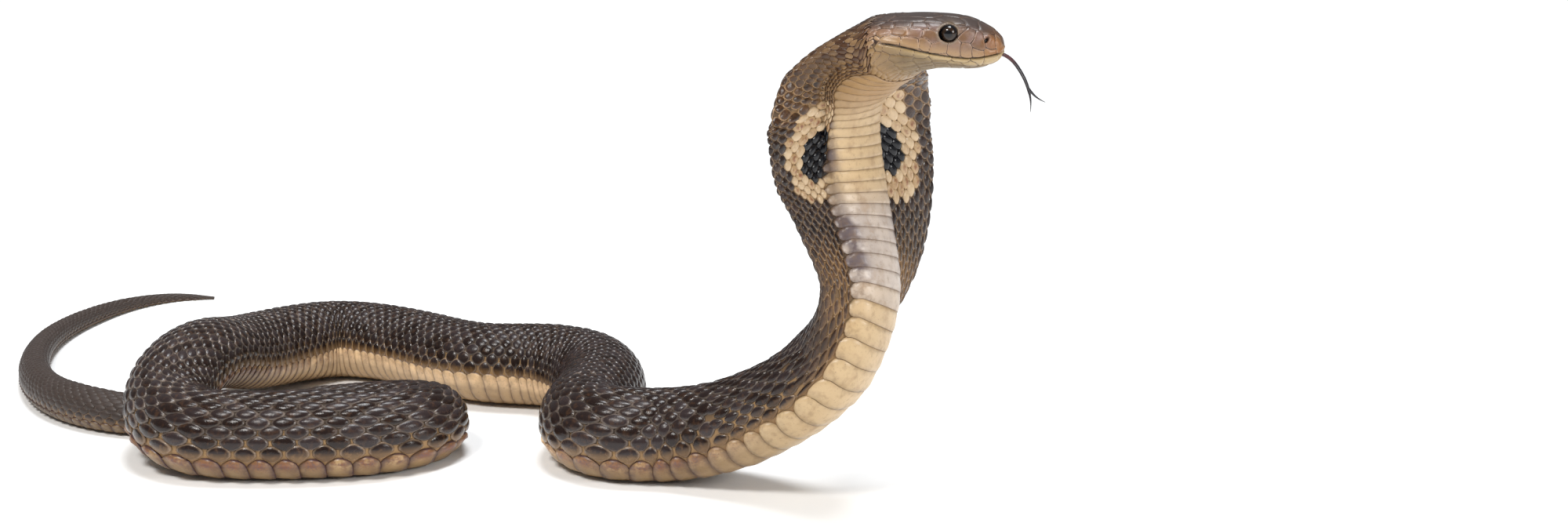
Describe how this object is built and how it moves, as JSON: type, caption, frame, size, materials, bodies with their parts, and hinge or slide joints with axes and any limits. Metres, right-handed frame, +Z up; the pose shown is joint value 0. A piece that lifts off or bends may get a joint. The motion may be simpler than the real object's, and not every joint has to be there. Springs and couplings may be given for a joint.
{
  "type": "indian cobra",
  "caption": "Life-size snake model lying in coils on the floor with its forebody raised, its hood spread and its forked tongue out.",
  "frame": {"origin": "under the middle of the animal's bounding box, at floor level", "axes": "+Z up; +X the way the head points, along the longest side of the coils; +Y away from the viewer of the picture, towards the back of the coils"},
  "size_m": [0.4652, 0.3731, 0.1976],
  "materials": {
    "body_skin": "glossy overlapping scales, dark brown-black above with tan skin between, yellowish cream belly scutes",
    "hood_skin": "glossy scales set apart on stretched tan skin, cream belly scutes",
    "tail_skin": "small matt grey-brown scales",
    "head_skin": "smooth glossy shields, brown above and cream-yellow on the lips",
    "jaw_skin": "smooth cream shields",
    "eye": "wet black eye with a round pupil",
    "tongue": "moist black tongue with a purple-brown sheen"
  },
  "bodies": {
    "root": {"tail_tip": "tail_skin", "tail_curl": "tail_skin", "tail_base": "tail_skin", "hind_body": "body_skin", "hind_bend": "body_skin", "front_run": "body_skin", "coil_left_front": "body_skin", "coil_left_back": "body_skin", "coil_back_corner": "body_skin", "back_run": "body_skin", "right_bend": "body_skin", "near_bend": "body_skin", "fore_body": "body_skin", "neck": "body_skin", "hood_lower": "hood_skin", "hood_upper": "hood_skin", "head": "head_skin", "lower_jaw": "jaw_skin", "eye_right": "eye", "eye_left": "eye", "tongue": "tongue"}
  },
  "joints": []
}
